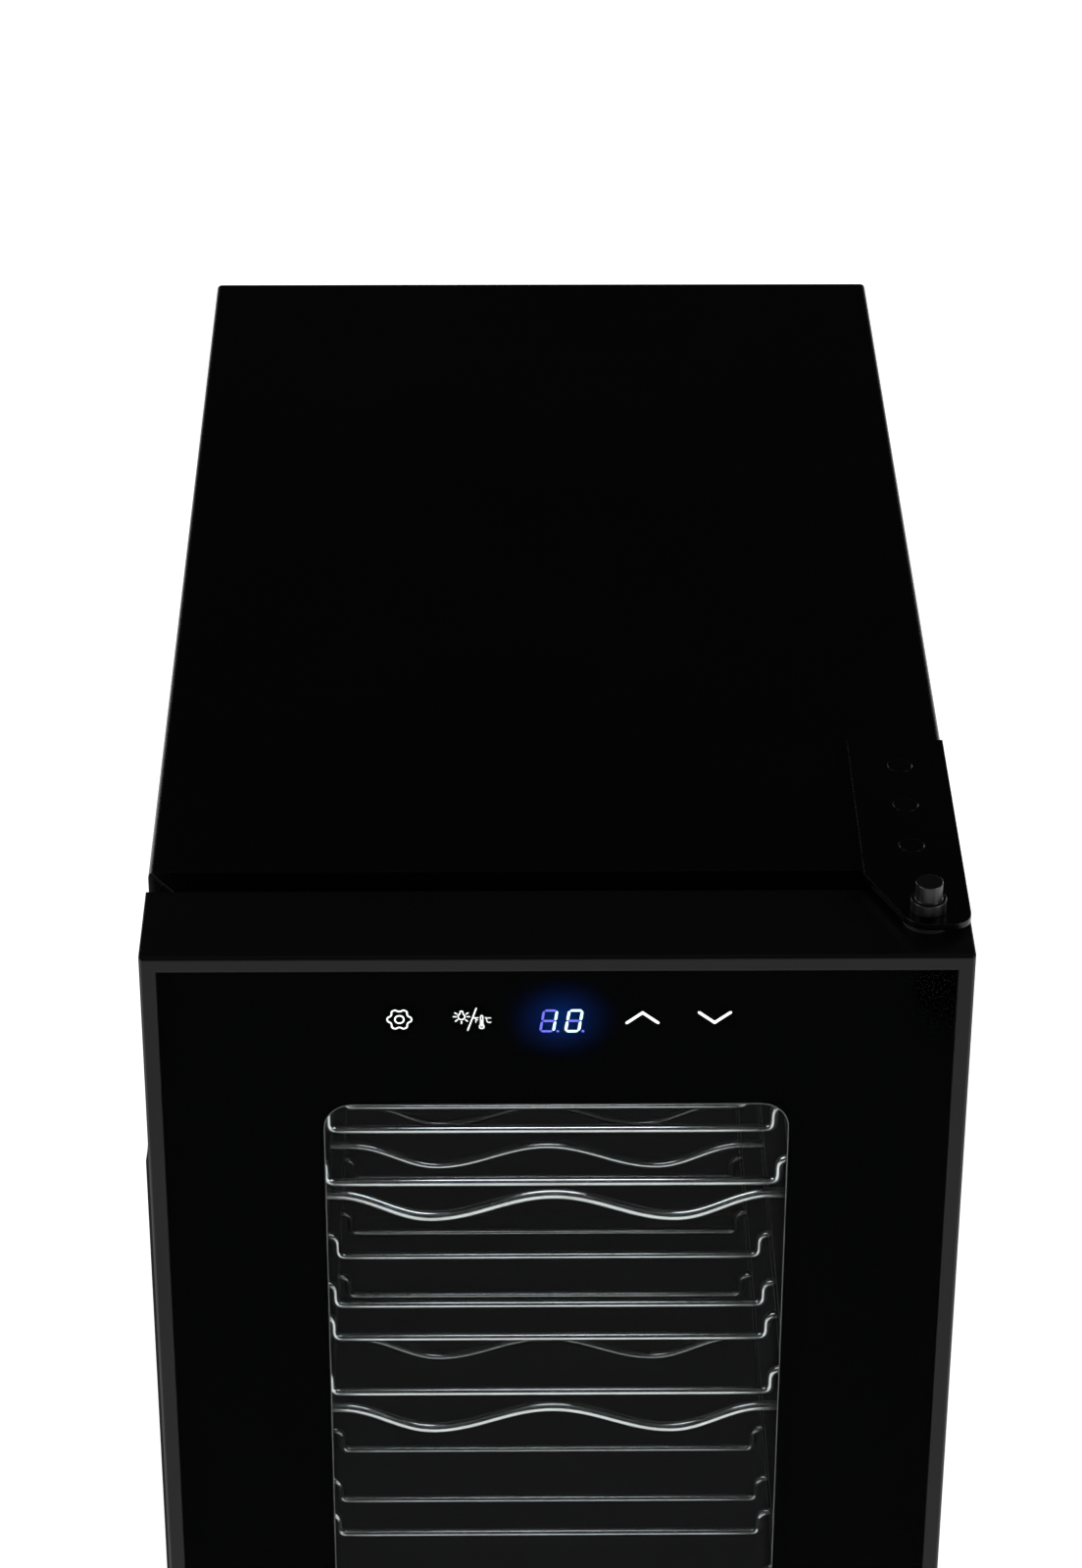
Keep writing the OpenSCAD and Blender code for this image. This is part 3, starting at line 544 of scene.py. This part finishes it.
def make_pin_head(finish):
    """The top hinge pin: a shaft, a turned collar on the hinge plate and a stub on top."""
    node = "top_hinge_pin"
    centre = (low(node) + high(node)) / 2 / MM
    bottom = low(node).z / MM
    top = high(node).z / MM
    plate_face = high("top_hinge_plate").z / MM
    collar_top = plate_face + PIN_COLLAR_HEIGHT
    profile = [
        (PIN_END_RADIUS, bottom),
        (PIN_SHAFT_RADIUS, bottom),
        (PIN_SHAFT_RADIUS, plate_face),
        (PIN_COLLAR_RADIUS, plate_face),
        (PIN_COLLAR_RADIUS, collar_top),
        (PIN_STUB_RADIUS, collar_top),
        (PIN_STUB_RADIUS, top),
        (PIN_END_RADIUS, top),
    ]
    mesh = bmesh.new()
    turned(mesh, centre, eased(profile, PIN_EASING))
    made = new_piece("hinge_pin_turned", mesh, "cabinet", finish)
    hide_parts(node)


# ---------------------------------------------------------------- racks

HOLLOW_DEPTH = 9 * MM
BOTTLE_OFFSET = 40.2 * MM
OUTER_SLOPE = 31 * MM
WAVED_RADIUS = 1.75 * MM
CROSS_RADIUS = 1.5 * MM
SIDE_RADIUS = 2 * MM
SIDE_DROP = 3.3 * MM
RISER_INSET = 6.5 * MM
CROSS_BEND = 3.2 * MM
WAVED_OVERHANG = 0.6 * MM
WAVED_STEPS = 72
WAVED_SIDES, CROSS_SIDES, SIDE_SIDES = 20, 16, 20
WAVED_ROWS = (0, 150, 300)
CROSS_ROWS = (23.5, 53.5, 72, 100, 192, 232, 268)


def wave_height(x):
    """The height of a waved wire at x, with a hollow on each side of the middle."""
    off = abs(x)
    slope = BOTTLE_OFFSET if off < BOTTLE_OFFSET else OUTER_SLOPE
    share = min(abs(off - BOTTLE_OFFSET) / slope, 1)
    return -HOLLOW_DEPTH * (1 + math.cos(math.pi * share)) / 2


def make_rack(node, body, finish):
    """A rack of round wires with welded crossings, in place of the CAD rack."""
    lowest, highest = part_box(node)
    level = highest.z - WAVED_RADIUS
    front = lowest.y + SIDE_RADIUS
    side_x = highest.x - SIDE_RADIUS
    side_z = level - SIDE_DROP
    riser_x = side_x - RISER_INSET
    cross_z = lowest.z + CROSS_RADIUS
    mesh = bmesh.new()
    end = side_x + WAVED_OVERHANG
    xs = [-end + 2 * end * i / WAVED_STEPS for i in range(WAVED_STEPS + 1)]
    for row in WAVED_ROWS:
        path = [(x, front + row * MM, level + wave_height(x)) for x in xs]
        tube(mesh, path, WAVED_RADIUS, WAVED_SIDES)
    for row in CROSS_ROWS:
        y = front + row * MM
        path = [
            (-side_x, y, side_z),
            (-riser_x, y, side_z),
            (-riser_x, y, cross_z),
            (riser_x, y, cross_z),
            (riser_x, y, side_z),
            (side_x, y, side_z),
        ]
        tube(mesh, bent(path, CROSS_BEND), CROSS_RADIUS, CROSS_SIDES)
    back = front + WAVED_ROWS[-1] * MM
    for side in (-1, 1):
        path = [(side * side_x, y, side_z) for y in (front, (front + back) / 2, back)]
        tube(mesh, path, SIDE_RADIUS, SIDE_SIDES)
    rack = new_piece(node + "_wires", mesh, body, finish)
    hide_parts(node)


# ---------------------------------------------------------------- control strip

CONTROL_HEIGHT = 428.3
DISPLAY_X = 1.3
INNER_KEY_X = 26
OUTER_KEY_X = 48
DIGITS_DROP = 0.7
ARROW_RISE = 0.35
SLANT = math.tan(math.radians(8.5))
DIGIT_WIDTH = 4.0
DIGIT_HEIGHT = 7.6
DIGIT_PITCH = 7.7
DOT_GAP = 0.75
DOT_RADIUS = 0.42
SEGMENTS = {
    "a": ((0, 2), (1, 2)),
    "b": ((1, 2), (1, 1)),
    "c": ((1, 1), (1, 0)),
    "d": ((0, 0), (1, 0)),
    "e": ((0, 0), (0, 1)),
    "f": ((0, 1), (0, 2)),
    "g": ((0, 1), (1, 1)),
}


def segment_outline(start, end, centre):
    """One slanted bar of a digit, as a hexagon between two of the digit's six corners."""
    half = 0.38
    gap = 0.2
    start, end = (
        Vector(((p[0] - 0.5) * DIGIT_WIDTH, (p[1] - 1) * DIGIT_HEIGHT / 2)) for p in (start, end)
    )
    way = (end - start).normalized()
    across = Vector((-way.y, way.x))
    near, far = start + way * gap, end - way * gap
    corners = [near, near + way * half + across * half, far - way * half + across * half]
    corners += [far, far - way * half - across * half, near + way * half - across * half]
    return [(centre[0] + p.x + p.y * SLANT, centre[1] + p.y) for p in corners]


def make_digits(centre, plane, lit_finish, painted_glow_finish):
    """The display's two digits: a lit 10, with a faint painted navy glow on the unlit bars and
    the dot.
    """
    lit_mesh, unlit_glow_mesh = bmesh.new(), bmesh.new()
    for place, shown in ((-0.5, "bc"), (0.5, "abcdef")):
        middle = (centre[0] + place * DIGIT_PITCH, centre[1])
        for name, (start, end) in SEGMENTS.items():
            # Unlit bars and the dot go to the mesh with the painted glow.
            mesh = lit_mesh if name in shown else unlit_glow_mesh
            raise_loops(mesh, [segment_outline(start, end, middle)], plane)
        spot = (middle[0] + DIGIT_WIDTH / 2 + DOT_GAP, middle[1] - DIGIT_HEIGHT / 2)
        raise_loops(unlit_glow_mesh, [arc(spot, DOT_RADIUS, 0, 345, 23)], plane)
    new_piece("digits_lit", lit_mesh, "door", lit_finish, smooth=False)
    new_piece("digits_unlit", unlit_glow_mesh, "door", painted_glow_finish, smooth=False)


def settings_icon(mesh, centre, plane):
    """A cogwheel with six rounded teeth and a ring in its middle."""
    root, tip, ring = 2.95, 3.75, 1.36
    width = 0.42
    outline = []
    for tooth in range(6):
        for angle, radius in ((-20, root), (-12, tip), (12, tip), (20, root)):
            turn = math.radians(tooth * 60 + angle)
            outline.append((radius * math.cos(turn), radius * math.sin(turn)))
    draw(mesh, moved(softened(outline, 2), *centre), width, plane, closed=True)
    draw(mesh, arc(centre, ring, 0, 350, 35), width, plane, closed=True)


def lamp_and_unit_icon(mesh, centre, plane):
    """A lamp with rays, a stroke, and a thermometer between a degree F and a degree C."""
    x, z = centre
    lamp_width, stroke_width = 0.3, 0.36
    glass_width, mercury_width = 0.26, 0.24
    letter_width, degree_width = 0.2, 0.14

    lamp = (x - 3.1, z + 0.95)
    bulb = arc((0, 0), 1.05, 120, 420, 24)
    socket = [(0.45, 1.7), (0.25, 2.0), (-0.25, 2.0), (-0.45, 1.7)]
    draw(mesh, moved(bulb + socket, *lamp), lamp_width, plane, closed=True)
    for angle in (-90, -138, -42, 180, 0, 145, 35):
        turn = math.radians(angle)
        ray = [(reach * math.cos(turn), reach * math.sin(turn)) for reach in (1.65, 2.5)]
        draw(mesh, moved(ray, *lamp), lamp_width, plane)

    draw(mesh, moved([(1.4, 4.0), (-1.2, -4.0)], x, z), stroke_width, plane)

    stem = (x + 3.05, z)
    glass = arc((0, -2.7), 0.72, 118, 422, 24) + [(0.34, 1.1), (0, 1.4), (-0.34, 1.1)]
    draw(mesh, moved(glass, *stem), glass_width, plane, closed=True)
    draw(mesh, moved([(0, -2.7), (0, -0.4)], *stem), mercury_width, plane)

    letter_f = [[(0.3, -1.2), (0.3, 0.55), (1.1, 0.55)], [(0.3, -0.25), (0.95, -0.25)]]
    letter_c = [arc((0.95, -0.32), 0.85, 55, 305, 14)]
    for left, lines in ((x + 0.95, letter_f), (x + 4.45, letter_c)):
        degree = arc((left - 0.15, z + 0.5), 0.2, 0, 330, 11)
        draw(mesh, degree, degree_width, plane, closed=True)
        for line in lines:
            draw(mesh, moved(line, left, z), letter_width, plane)


def arrow_icon(mesh, centre, plane, way):
    """A flat angle that points up, with way 1, or down, with way -1."""
    reach, rise, width = 4.75, 1.85 * way, 0.82
    draw(mesh, moved([(-reach, -rise), (0, rise), (reach, -rise)], *centre), width, plane)


def up_icon(mesh, centre, plane):
    """The upward arrow."""
    arrow_icon(mesh, centre, plane, 1)


def down_icon(mesh, centre, plane):
    """The downward arrow."""
    arrow_icon(mesh, centre, plane, -1)


def make_icons(plane, finish):
    """The signs of the four touch keys."""
    arrow_height = CONTROL_HEIGHT + ARROW_RISE
    icons = (
        ("icon_settings", settings_icon, (-OUTER_KEY_X, CONTROL_HEIGHT)),
        ("icon_lamp_and_unit", lamp_and_unit_icon, (-INNER_KEY_X, CONTROL_HEIGHT)),
        ("icon_up", up_icon, (INNER_KEY_X, arrow_height)),
        ("icon_down", down_icon, (OUTER_KEY_X, arrow_height)),
    )
    for name, drawing, centre in icons:
        mesh = bmesh.new()
        drawing(mesh, centre, plane)
        new_piece(name, mesh, "door", finish, smooth=False)


# ---------------------------------------------------------------- window

WINDOW_SIDE = 54.5
WINDOW_BELOW = 55
WINDOW_ABOVE = 56.5
WINDOW_CORNER = 8.7
WINDOW_LINE = 0.3


def make_window_edge(plane, finish):
    """A painted highlight round the window: a thin lighter grey ring in the print plane, placed
    from the door frame's edges.
    """
    half = high("door_frame").x / MM - WINDOW_SIDE
    bottom = low("door_frame").z / MM + WINDOW_BELOW
    top = high("door_frame").z / MM - WINDOW_ABOVE
    loops = [
        rounded_frame(half + grow, bottom - grow, top + grow, WINDOW_CORNER + grow)
        for grow in (WINDOW_LINE / 2, -WINDOW_LINE / 2)
    ]
    mesh = bmesh.new()
    raise_loops(mesh, loops, plane)
    new_piece("window_edge", mesh, "door", finish, smooth=False)


# ---------------------------------------------------------------- studio

FLOOR_GLOW = 0.9


def make_floor():
    """A plain pale floor, which glows a little like a light table."""
    mesh = bmesh.new()
    half = 8
    corners = ((-half, -half), (half, -half), (half, half), (-half, half))
    mesh.faces.new([mesh.verts.new((x, y, 0)) for x, y in corners])
    data = bpy.data.meshes.new("floor")
    mesh.to_mesh(data)
    mesh.free()
    made, tree, shader = new_material("floor")
    patches = spread(tree, noise(tree, 400, 2), 0, 1)
    feed(tree, shader.inputs["Base Color"], mixed_colour(tree, patches, grey(0.8), grey(0.83)))
    shader.inputs["Roughness"].default_value = 0.9
    shader.inputs["Specular IOR Level"].default_value = 0.0
    shader.inputs["Emission Color"].default_value = (1, 1, 1, 1)
    shader.inputs["Emission Strength"].default_value = FLOOR_GLOW
    data.materials.append(made)
    floor = bpy.data.objects.new("floor", data)
    bpy.context.scene.collection.objects.link(floor)


def make_lamp(name, place, target, width, height, power):
    """A soft rectangular studio lamp that faces a target."""
    data = bpy.data.lights.new(name, "AREA")
    data.shape = "RECTANGLE"
    data.size, data.size_y = width, height
    data.energy = power
    lamp = bpy.data.objects.new(name, data)
    lamp.location = place
    lamp.rotation_euler = (Vector(target) - Vector(place)).to_track_quat("-Z", "Y").to_euler()
    bpy.context.scene.collection.objects.link(lamp)


def make_world():
    """Pale surroundings for the camera, dimmer as a light so that black stays black."""
    world = bpy.data.worlds.new("studio")
    world.use_nodes = True
    tree = world.node_tree
    background = tree.nodes["Background"]
    rays = add_node(tree, "ShaderNodeLightPath")
    shade = mixed_colour(tree, rays.outputs["Is Camera Ray"], grey(0.015), grey(0.93))
    feed(tree, background.inputs["Color"], shade)
    bpy.context.scene.world = world
    bpy.context.scene.view_settings.view_transform = "Standard"


def light_studio():
    """Two tall soft lamps in front, one weak wide one above, and two behind."""
    middle = (0, 0, 0.25)
    make_lamp("lamp_left", (-1.65, -0.6, 0.7), middle, 0.9, 1.4, 15)
    make_lamp("lamp_right", (1.5, -1.0, 0.7), middle, 0.9, 1.4, 13)
    make_lamp("lamp_top", (0, -0.1, 2.6), middle, 2.4, 2.4, 5)
    make_lamp("lamp_back_left", (-1.5, 1.4, 0.9), middle, 0.6, 1.4, 10)
    make_lamp("lamp_back_right", (1.5, 1.4, 0.9), middle, 0.6, 1.4, 10)


# ---------------------------------------------------------------- the scene

PRINT_GAP = 0.06

make_camera()
make_floor()
make_world()
light_studio()

print_plane = low("glass_print").y - PRINT_GAP * MM
display_centre = Vector((DISPLAY_X * MM, print_plane, CONTROL_HEIGHT * MM))
finishes = make_materials()
finishes["black_print"] = print_and_painted_glow(display_centre)

for node in nodes.values():
    for slot in node.material_slots:
        slot.material = finishes[slot.material.name]

for level in ("upper", "middle", "lower"):
    make_rack(f"rack_{level}", f"{level}_rack", finishes["chrome_wire"])

make_pin_head(finishes["pin_black"])
make_digits(
    (DISPLAY_X, CONTROL_HEIGHT - DIGITS_DROP),
    print_plane,
    finishes["digit_light"],
    finishes["digit_painted_glow"],
)
make_icons(print_plane, finishes["icon_light"])
make_window_edge(print_plane, finishes["window_painted_highlight"])
